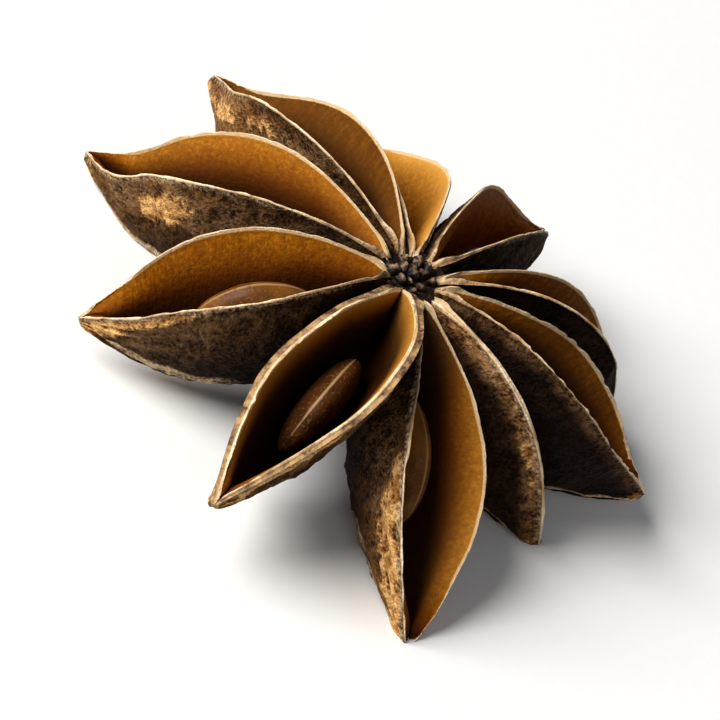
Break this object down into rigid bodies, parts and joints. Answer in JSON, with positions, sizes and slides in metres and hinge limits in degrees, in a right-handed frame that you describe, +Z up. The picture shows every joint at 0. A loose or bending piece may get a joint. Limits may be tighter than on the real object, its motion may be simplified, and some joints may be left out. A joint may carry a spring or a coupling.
{
  "type": "star anise pod",
  "caption": "Dried star anise pod: boat-shaped woody carpels round a short column, split open along the top, with glossy seeds on edge inside. Lies flat, open side up.",
  "frame": {"origin": "on the surface that the pod lies on, below the middle of its bounding box", "axes": "+Z up, out of the open side; -Y towards the front carpel with the seed that shows whole"},
  "size_m": [0.0338, 0.0316, 0.012],
  "materials": {
    "husk": "dry rough woody husk, smoother and warmer inside, with pale lips",
    "seed": "hard brown seed coat with a satin shine"
  },
  "bodies": {
    "root": {"husk": "husk", "seed_1": "seed", "seed_2": "seed", "seed_3": "seed", "seed_4": "seed"}
  },
  "joints": []
}
